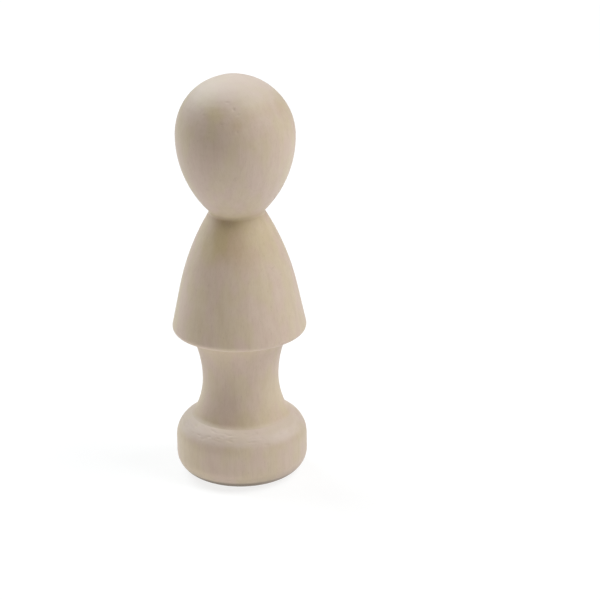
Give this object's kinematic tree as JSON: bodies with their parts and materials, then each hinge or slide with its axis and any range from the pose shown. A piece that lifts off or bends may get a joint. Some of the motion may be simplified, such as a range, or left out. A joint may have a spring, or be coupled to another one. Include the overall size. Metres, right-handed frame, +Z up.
{
  "type": "peg doll",
  "caption": "Plain turned wooden figure with an egg-shaped head, a flared dress, waisted legs and a round base, dowelled and glued together; it stands as a toy or as a blank to paint.",
  "frame": {"origin": "middle of the flat foot that the doll stands on", "axes": "+Z up along the lathe axis, from the foot to the crown; the doll is round, so +X and +Y are any two directions across it"},
  "size_m": [0.0226, 0.0226, 0.07],
  "materials": {
    "turned_wood": "pale, fine-grained hardwood, turned and sanded, left bare",
    "dowel_wood": "straight-grained beech dowel, fluted, left bare"
  },
  "bodies": {
    "root": {"base": "turned_wood", "legs": "turned_wood", "dress": "turned_wood", "head": "turned_wood", "core_dowel": "dowel_wood", "neck_dowel": "dowel_wood"}
  },
  "joints": []
}
